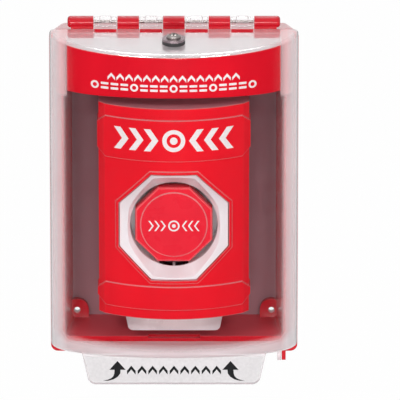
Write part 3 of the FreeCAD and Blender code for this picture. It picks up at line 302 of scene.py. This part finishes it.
# How far the cover is turned away, from 0, facing the eye, to 1, edge-on, where two of these begin
# to show and where they are full, and how mirror-like and milky all of it is at each turn.
FLANGE_TURN = (0.02, 0.08)
SIDE_WALL_TURN = (0.45, 0.75)
MIRROR_CURVE = ((0.0, 0.001), (0.28, 0.004), (0.36, 0.04), (0.46, 0.19), (0.62, 0.36), (0.8, 0.55),
                (1.0, 1.0))
MILK_CURVE = ((0.0, 0.0), (0.3, 0.002), (0.42, 0.015), (0.55, 0.08), (0.64, 0.28), (0.78, 0.74),
              (1.0, 0.85))

# How milky each zone is, and how much its edges and the rounding under its top shine.
FLANGE_MILK = 0.3
# Share of the dark band painted on the edge-on side wall.
PAINTED_DARK_SIDE_SHARE = 0.85
# Share of the red light painted beside the hood.
PAINTED_RED_MILK = 0.35
FOOT_MILK = 0.38
# Share of the milky highlight painted on the edges.
PAINTED_RIM_MILK = 0.62
RIM_SHINE = 0.3
ROUNDING_SHINE = 0.22
ROUNDING_UPWARD = (0.15, 0.45)


def clear_plastic(name):
    """Clear moulded cover: see-through where it faces the eye and milky where it turns away, with
    milky side flanges and foot, edges with a painted milky highlight, a polished skin and faint
    flow marks. The hood's red light in the flanges beside it, a dark line along the foot's front
    edges and a dark band on the edge-on side wall are painted in."""
    edge = 0.8
    s = Shader(name)
    soft = s.rounded(edge)
    bump = s.bump(s.noise(35.0, detail=2.0), 0.05, 0.3, soft)
    turned = s.node("ShaderNodeLayerWeight", {"Blend": 0.5, "Normal": soft}).outputs["Facing"]
    lit = s.calc("SUBTRACT", 1.0, s.node("ShaderNodeLightPath").outputs["Is Shadow Ray"])

    across, height = s.along("|X|"), s.along("Z")
    front = s.zone(s.along("Y"), CURVED_FRONT_Y)
    foot = s.zone(height, COVER_FOOT_Z)
    flange = s.calc("MULTIPLY", s.zone(across, SIDE_FLANGE_X, FLANGE_MILK), s.ramp(turned, *FLANGE_TURN))
    # A dark band painted where the outer side wall turns edge-on.
    painted_dark_side = s.calc("MULTIPLY", s.zone(across, SIDE_WALL_X, PAINTED_DARK_SIDE_SHARE),
                       s.ramp(turned, *SIDE_WALL_TURN))
    # Red painted into the flanges beside the hood, for the hood's red light spilling there.
    beside_hood = s.calc("SUBTRACT", s.zone(across, PAINTED_RED_STARTS_X, PAINTED_RED_MILK),
                         s.zone(across, PAINTED_RED_ENDS_X, PAINTED_RED_MILK))
    painted_hood_red = s.calc("MULTIPLY", s.zone(height, HOOD_LEVEL_Z), beside_hood)
    # The cover's edges turn milky white: a painted highlight where light catches them.
    painted_highlight_rims = s.edges(edge, PAINTED_RIM_MILK)
    rounding = s.calc("MULTIPLY", s.upward(*ROUNDING_UPWARD, ROUNDING_SHINE), front)

    shine = s.calc("ADD", s.curve(turned, MIRROR_CURVE), rounding, s.calc("MULTIPLY", painted_highlight_rims, RIM_SHINE))
    skin = s.node("ShaderNodeMixShader", {
        0: s.calc("MULTIPLY", lit, shine),
        1: s.node("ShaderNodeBsdfTransparent", {"Color": (0.99, 0.984, 0.987, 1.0)}).outputs[0],
        2: s.node("ShaderNodeBsdfGlossy", {"Roughness": 0.05, "Normal": bump}).outputs[0],
    })

    # The milk's pink is painted red light from the red parts around it, varied at random. Painted light and
    # shade are laid over it zone by zone below.
    milk_colour_and_painted_light = s.blend(s.spread(s.noise(22.0)), tone((0.93, 0.82, 0.85)), tone((0.98, 0.90, 0.92)))
    # A dark red line painted along the front edges of the foot.
    painted_dark_foot_rims = s.calc("MULTIPLY", front, foot, painted_highlight_rims)
    for mask, colour in ((painted_dark_foot_rims, (0.30, 0.12, 0.16)), (foot, (0.88, 0.82, 0.84)),
                         (painted_hood_red, (0.95, 0.22, 0.22)), (painted_dark_side, (0.20, 0.15, 0.17))):
        milk_colour_and_painted_light = s.blend(mask, milk_colour_and_painted_light, tone(colour))
    milk = s.node("ShaderNodeBsdfPrincipled", {
        "Base Color": milk_colour_and_painted_light, "Roughness": 0.2, "Normal": bump, "Specular IOR Level": 0.4,
    })

    strongest = s.calc("MAXIMUM", painted_highlight_rims, painted_hood_red, painted_dark_side, s.calc("MULTIPLY", foot, FOOT_MILK))
    milkiness = s.calc("ADD", s.curve(turned, MILK_CURVE), flange, strongest)
    return s.surface(s.node("ShaderNodeMixShader", {
        0: s.calc("MULTIPLY", lit, milkiness), 1: skin.outputs[0], 2: milk.outputs[0],
    }))


FINISHES = {
    # The frame: a faint painted highlight on its edges and a painted pink sheen on faces that look up.
    "red_gloss": lambda name: plastic(name, (0.60, 0.008, 0.020), 0.14, specular=0.25, coat=0.05,
                                      painted_edge_highlight=0.12, painted_top_sheen=0.2),
    # The station: a strong painted highlight on its edges and a painted pink sheen on its top faces.
    "red_station": lambda name: plastic(name, (0.81, 0.006, 0.018), 0.17, edge=0.8, specular=0.12,
                                        shade=0.95, painted_edge_highlight=0.6, painted_top_sheen=0.75, soften=1.4),
    # The button: a strong painted highlight on its edges.
    "red_button": lambda name: plastic(name, (0.84, 0.013, 0.034), 0.28, edge=0.9, specular=0.12,
                                       painted_edge_highlight=0.8),
    "red_hood": lambda name: plastic(name, (0.71, 0.008, 0.022), 0.34, specular=0.05),
    # The back plate: painted shade, darker and redder towards the top under the hood.
    "backing_grey": lambda name: plastic(name, (0.31, 0.15, 0.17), 0.42, grain=0.05, specular=0.25,
                                         painted_shade=("Z", -70, 50, 0.6, (0.10, 0.01, 0.02))),
    # The white chute: painted shade, darker towards both sides.
    "box_white": lambda name: plastic(name, (0.95, 0.95, 0.95), 0.3, edge=0.5,
                                      painted_shade=("|X|", 15, 28, 0.6, (0.40, 0.31, 0.34))),
    # The dish: a faint painted highlight on its edges, and painted shade, darker grey-pink towards the top.
    "dish_white": lambda name: plastic(name, (0.92, 0.90, 0.92), 0.16, edge=0.5, specular=0.4, painted_edge_highlight=0.2,
                                       painted_shade=("Z", -8, 14, 0.5, (0.42, 0.30, 0.33))),
    "clear_plastic": clear_plastic,
    "sounder_white": lambda name: plastic(name, (0.80, 0.74, 0.76), 0.4),
    "black_plastic": lambda name: plastic(name, (0.02, 0.02, 0.022), 0.4, grain=0.05),
    "switch_grey": lambda name: plastic(name, (0.12, 0.125, 0.135), 0.45, grain=0.05),
    "steel": lambda name: metal(name, (0.31, 0.28, 0.27), 0.2),
    "zinc_steel": lambda name: metal(name, (0.30, 0.24, 0.26), 0.28, brushed=(12.0, 1.0, 1.0)),
    "spring_steel": lambda name: metal(name, (0.45, 0.46, 0.48), 0.3),
    "turned_aluminium": lambda name: metal(name, (0.74, 0.74, 0.76), 0.25, brushed=(1.0, 12.0, 1.0)),
    "cell_metal": lambda name: plastic(name, (0.04, 0.07, 0.16), 0.25, coat=0.4),
    "brass": lambda name: metal(name, (0.72, 0.52, 0.22), 0.28),
    "magnet": lambda name: metal(name, (0.30, 0.30, 0.32), 0.4),
    "board_green": lambda name: plastic(name, (0.02, 0.16, 0.06), 0.35, grain=0.06, grain_scale=700.0),
    "reed_glass": lambda name: glass(name, (0.80, 0.92, 0.88)),
    "rubber": lambda name: plastic(name, (0.025, 0.023, 0.025), 0.65, grain=0.08),
    "label_grey": lambda name: print_ink(name, (0.74, 0.72, 0.73), 0.3),
}
materials = {slot: make("look_" + slot) for slot, make in FINISHES.items()}
for entry in frame["record"]["subparts"]:
    finishes = nodes[entry["node"]].data.materials
    finishes.clear()
    finishes.append(materials[entry["material_slot"]])


# A copy of the return spring, carried with the plunger in place of the part's own. The real spring
# shortens between the plunger's collar and the holder as the button goes in; this copy keeps its length.
spring = add_object("spring_coil", nodes["return_spring"].data.copy())
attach(spring, "plunger")
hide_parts("return_spring")
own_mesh(spring)


# Printed marks. Each is a flat outline, x across and z up in millimetres, laid on a node's front.
def arc(x, z, radius, start, turn, steps):
    """Points along an arc, with both its ends. Angles are in degrees, from the right over the top."""
    angles = [math.radians(start + turn * step / steps) for step in range(steps + 1)]
    return [(x + radius * math.cos(angle), z + radius * math.sin(angle)) for angle in angles]


def ring(x, z, outer, inner):
    """A ring as two half outlines, so that each is a plain polygon."""
    return [arc(x, z, outer, start, 180, 20) + arc(x, z, inner, start + 180, -180, 20)
            for start in (0, 180)]


def disc(x, z, radius):
    return arc(x, z, radius, 0, 360, 32)[:-1]


def bar(x, z, width, height):
    """A bar about its middle, with its corners rounded by a quarter of its lesser side."""
    radius = min(width, height) / 4
    right, top = width / 2 - radius, height / 2 - radius
    points = []
    for start, across, up in ((0, right, top), (90, -right, top), (180, -right, -top), (270, right, -top)):
        points += arc(x + across, z + up, radius, start, 90, 4)
    return points


def chevron(x, z, width, height, stroke, towards="up"):
    """A V-shaped mark that points up, left or right, as one outline."""
    half, low, high = width / 2, -height / 2, height / 2
    shape = [(-half, low), (0, high - stroke), (half, low),
             (half, low + stroke), (0, high), (-half, low + stroke)]
    turns = {"up": lambda a, b: (a, b), "right": lambda a, b: (b, -a), "left": lambda a, b: (-b, a)}
    turned = [turns[towards](a, b) for a, b in shape]
    return [(x + across, z + up) for across, up in turned]


def up_arrow(x, z, side):
    """A curved arrow that swings in from the side and points up, with its tip at x, z."""
    left_edge = [(-1.75, -5.4), (-1.9, -7.6), (-2.4, -9.2), (-3.5, -10.5), (-5.4, -11.4), (-8.4, -12.2)]
    right_edge = [(-5.0, -12.0), (-2.2, -11.2), (0.2, -9.6), (1.6, -7.6), (1.75, -5.4)]
    shape = [(-4.7, -5.4), *left_edge, *right_edge, (4.7, -5.4), (0, 0)]
    return [(x + side * across, z + up) for across, up in shape]


def target_row(z, ring_radii, dot_radius, first, step, **form):
    """A ring and dot in the middle, with three chevrons that point at it from each side."""
    marks = ring(0, z, *ring_radii) + [disc(0, z, dot_radius)]
    for side, towards in ((-1, "right"), (1, "left")):
        marks += [chevron(side * (first + step * k), z, towards=towards, **form) for k in range(3)]
    return marks


INK_LIFT = 0.03 * MM
INK_THICKNESS = 0.05 * MM
INK_STRIP = 1.0 * MM


def lay_marks(name, node, outlines, material, body):
    """Lay the outlines on the node's front as thin ink, cut in strips to follow its curve."""
    target = nodes[node].data
    tree = BVHTree.FromPolygons([vertex.co for vertex in target.vertices],
                                [tuple(polygon.vertices) for polygon in target.polygons])
    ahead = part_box(node)[0].y - 10 * MM
    mesh = bmesh.new()
    for outline in outlines:
        mesh.faces.new([mesh.verts.new((x * MM, ahead, z * MM)) for x, z in outline])
    low = min(vertex.co.x for vertex in mesh.verts)
    high = max(vertex.co.x for vertex in mesh.verts)
    strips = int((high - low) / INK_STRIP)
    for number in range(1, strips):
        at = low + (high - low) * number / strips
        bmesh.ops.bisect_plane(mesh, geom=mesh.verts[:] + mesh.edges[:] + mesh.faces[:],
                               plane_co=(at, 0, 0), plane_no=(1, 0, 0))
    bmesh.ops.triangulate(mesh, faces=mesh.faces[:])
    bmesh.ops.recalc_face_normals(mesh, faces=mesh.faces[:])
    for vertex in mesh.verts:
        spot, normal = tree.ray_cast(vertex.co, Vector((0, 1, 0)))[:2]
        outward = normal if normal.y < 0 else -normal
        vertex.co = spot + outward * INK_LIFT
    for face in mesh.faces:
        if face.normal.y > 0:
            face.normal_flip()
    mesh.normal_update()
    data = bpy.data.meshes.new(name)
    mesh.to_mesh(data)
    mesh.free()
    data.materials.append(material)
    piece = add_object(name, data)
    thicken = piece.modifiers.new("ink", "SOLIDIFY")
    thicken.thickness = INK_THICKNESS
    thicken.offset = 0.0
    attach(piece, body)


white_ink = print_ink("ink_white", (0.86, 0.84, 0.84))
black_ink = print_ink("ink_black", (0.008, 0.008, 0.009), rough=0.55)

# On the hood, a row of chevrons over a row of rings with pairs of bars between them.
HOOD_TOP_Z, HOOD_TOP_STEP = 79.5, 5.1
HOOD_LOW_Z, HOOD_LOW_STEP = 73.7, 5.65
BAR_RISE = 1.3
hood_marks = [chevron(HOOD_TOP_STEP * k, HOOD_TOP_Z, width=4.3, height=4.4, stroke=1.9)
              for k in range(-7, 8)]
for k in range(-8, 9):
    if k % 4:
        hood_marks += [bar(HOOD_LOW_STEP * k, HOOD_LOW_Z + rise, width=4.4, height=1.35)
                       for rise in (-BAR_RISE, BAR_RISE)]
    else:
        hood_marks += ring(HOOD_LOW_STEP * k, HOOD_LOW_Z, outer=2.3, inner=1.2)
lay_marks("hood_marks", "label_hood", hood_marks, white_ink, "cover")

# On the station's name band, and smaller on the button.
NAME_ROW_Z = 40.4
name_marks = target_row(NAME_ROW_Z, ring_radii=(6.6, 4.1), dot_radius=2.2, first=13.0, step=8.6,
                        width=13.2, height=8.4, stroke=3.8)
lay_marks("name_marks", "station_housing", name_marks, white_ink, "station")

BUTTON_ROW_Z = -12.9
button_marks = target_row(BUTTON_ROW_Z, ring_radii=(3.3, 2.4), dot_radius=1.1, first=6.2, step=3.5,
                          width=6.2, height=3.2, stroke=1.0)
lay_marks("button_marks", "button_cap", button_marks, white_ink, "button")

# On the lift tab, a row of chevrons between two arrows.
ARROW_X, ARROW_TIP_Z = 32.8, -93.8
TAB_ROW_Z, TAB_ROW_STEP = -99.4, 6.2
tab_marks = [up_arrow(-ARROW_X, ARROW_TIP_Z, 1), up_arrow(ARROW_X, ARROW_TIP_Z, -1)]
tab_marks += [chevron(TAB_ROW_STEP * k, TAB_ROW_Z, width=5.0, height=5.4, stroke=2.3)
              for k in range(-4, 5)]
lay_marks("tab_marks", "pull_label", tab_marks, black_ink, "cover")


# Floor and backdrop. The floor keeps its shadow, and both look white to the eye.
FLOOR_REACH = 6.0
FLOOR_Z = -0.3


def floor_look():
    """Pale matte floor that looks near white to the eye."""
    s = Shader("floor_look")
    base = s.blend(s.spread(s.noise(3.0)), tone((0.80, 0.80, 0.80)), tone((0.84, 0.84, 0.84)))
    matte = s.node("ShaderNodeBsdfPrincipled", {"Base Color": base, "Roughness": 0.8})
    white = s.node("ShaderNodeEmission", {"Color": WHITE, "Strength": 1.0})
    seen = s.calc("MULTIPLY", s.seen_by_eye(), 0.985)
    return s.surface(s.node("ShaderNodeMixShader", {0: seen, 1: matte.outputs[0], 2: white.outputs[0]}))


corners = [(x * FLOOR_REACH, y * FLOOR_REACH, FLOOR_Z) for x, y in ((-1, -1), (1, -1), (1, 1), (-1, 1))]
floor_mesh = bpy.data.meshes.new("floor")
floor_mesh.from_pydata(corners, [], [(0, 1, 2, 3)])
floor_mesh.materials.append(floor_look())
add_object("floor", floor_mesh)

world = bpy.data.worlds.new("studio")
sky = NodeTree(world)
fill = sky.node("ShaderNodeBackground", {"Color": (1.0, 0.98, 0.98, 1.0), "Strength": 0.2})
backdrop = sky.node("ShaderNodeBackground", {"Color": WHITE, "Strength": 1.0})
choice = sky.node("ShaderNodeMixShader", {0: sky.seen_by_eye(), 1: fill.outputs[0], 2: backdrop.outputs[0]})
sky.node("ShaderNodeOutputWorld", {"Surface": choice.outputs[0]})
bpy.context.scene.world = world


# Lamps. Azimuth is to the right of straight ahead; angles in degrees, lengths in metres.
LAMPS_AIM = Vector((0.0, -0.03, 0.0))


def softbox(name, azimuth, elevation, distance, size, watts):
    """A rectangular lamp that faces the part."""
    around, up = math.radians(azimuth), math.radians(elevation)
    outward = Vector((math.sin(around) * math.cos(up), -math.cos(around) * math.cos(up), math.sin(up)))
    light = bpy.data.lights.new(name, "AREA")
    light.shape = "RECTANGLE"
    light.size, light.size_y = size
    light.energy = watts
    lamp = add_object(name, light)
    lamp.location = LAMPS_AIM + distance * outward
    lamp.rotation_euler = outward.to_track_quat("Z", "Y").to_euler()


softbox("left_box", azimuth=-24, elevation=28, distance=1.9, size=(0.62, 0.2), watts=10)
softbox("right_box", azimuth=26, elevation=28, distance=1.9, size=(0.62, 0.2), watts=9)
softbox("front_box", azimuth=0, elevation=-2, distance=2.2, size=(0.6, 0.4), watts=11.5)
softbox("top_box", azimuth=0, elevation=79, distance=1.5, size=(1.2, 0.6), watts=3)
softbox("back_box", azimuth=180, elevation=60, distance=2.2, size=(0.9, 0.5), watts=12)


# Camera, straight ahead of the part and above it.
CAMERA_TILT = math.radians(17.0)
CAMERA_DISTANCE = 4.0
CAMERA_AIM = Vector((0.0151, -0.037, -0.0033))
camera_data = bpy.data.cameras.new("camera")
camera_data.sensor_fit = "HORIZONTAL"
camera_data.sensor_width = 36.0
camera_data.lens = 620.7
camera_data.clip_end = 50.0
towards_camera = Vector((0.0, -math.cos(CAMERA_TILT), math.sin(CAMERA_TILT)))
camera = add_object("camera", camera_data)
camera.location = CAMERA_AIM + CAMERA_DISTANCE * towards_camera
camera.rotation_euler = (math.radians(90.0) - CAMERA_TILT, 0.0, 0.0)
bpy.context.scene.camera = camera
bpy.context.scene.view_settings.view_transform = "Standard"
